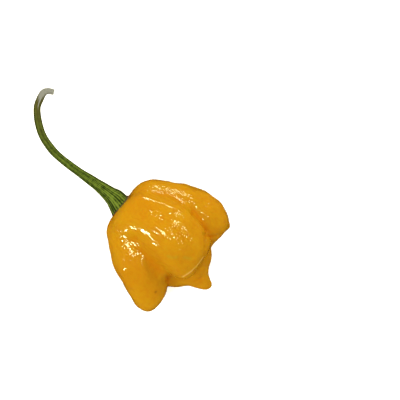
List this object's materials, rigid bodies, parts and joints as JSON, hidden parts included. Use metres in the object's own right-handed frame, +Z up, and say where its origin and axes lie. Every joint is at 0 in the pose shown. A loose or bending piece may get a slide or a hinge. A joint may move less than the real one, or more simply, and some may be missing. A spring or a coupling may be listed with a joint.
{
  "type": "fatalii pepper",
  "caption": "Yellow-orange hot pepper lying on its side: a broad, puffed, lobed pod with deep furrows and a short pointed tip, on its long curved green stalk with a ribbed calyx.",
  "frame": {"origin": "middle of the small flat spot on the pod's underside that the pepper rests on", "axes": "+Z up, out of the surface it lies on; +X along the pod from the calyx to the blossom end, so the stalk lies towards -X; +Y to the left of someone looking along +X"},
  "size_m": [0.0939, 0.0483, 0.0318],
  "materials": {
    "pod_skin": "ripe waxy pepper skin, deep yellow-orange, glossy over fine dimples, darker in the furrows",
    "stalk_green": "fresh green stalk and calyx with fine lengthwise ribs, thin brown calyx rim, dry pale grey cut end"
  },
  "bodies": {
    "root": {"pod": "pod_skin", "stalk": "stalk_green"}
  },
  "joints": []
}
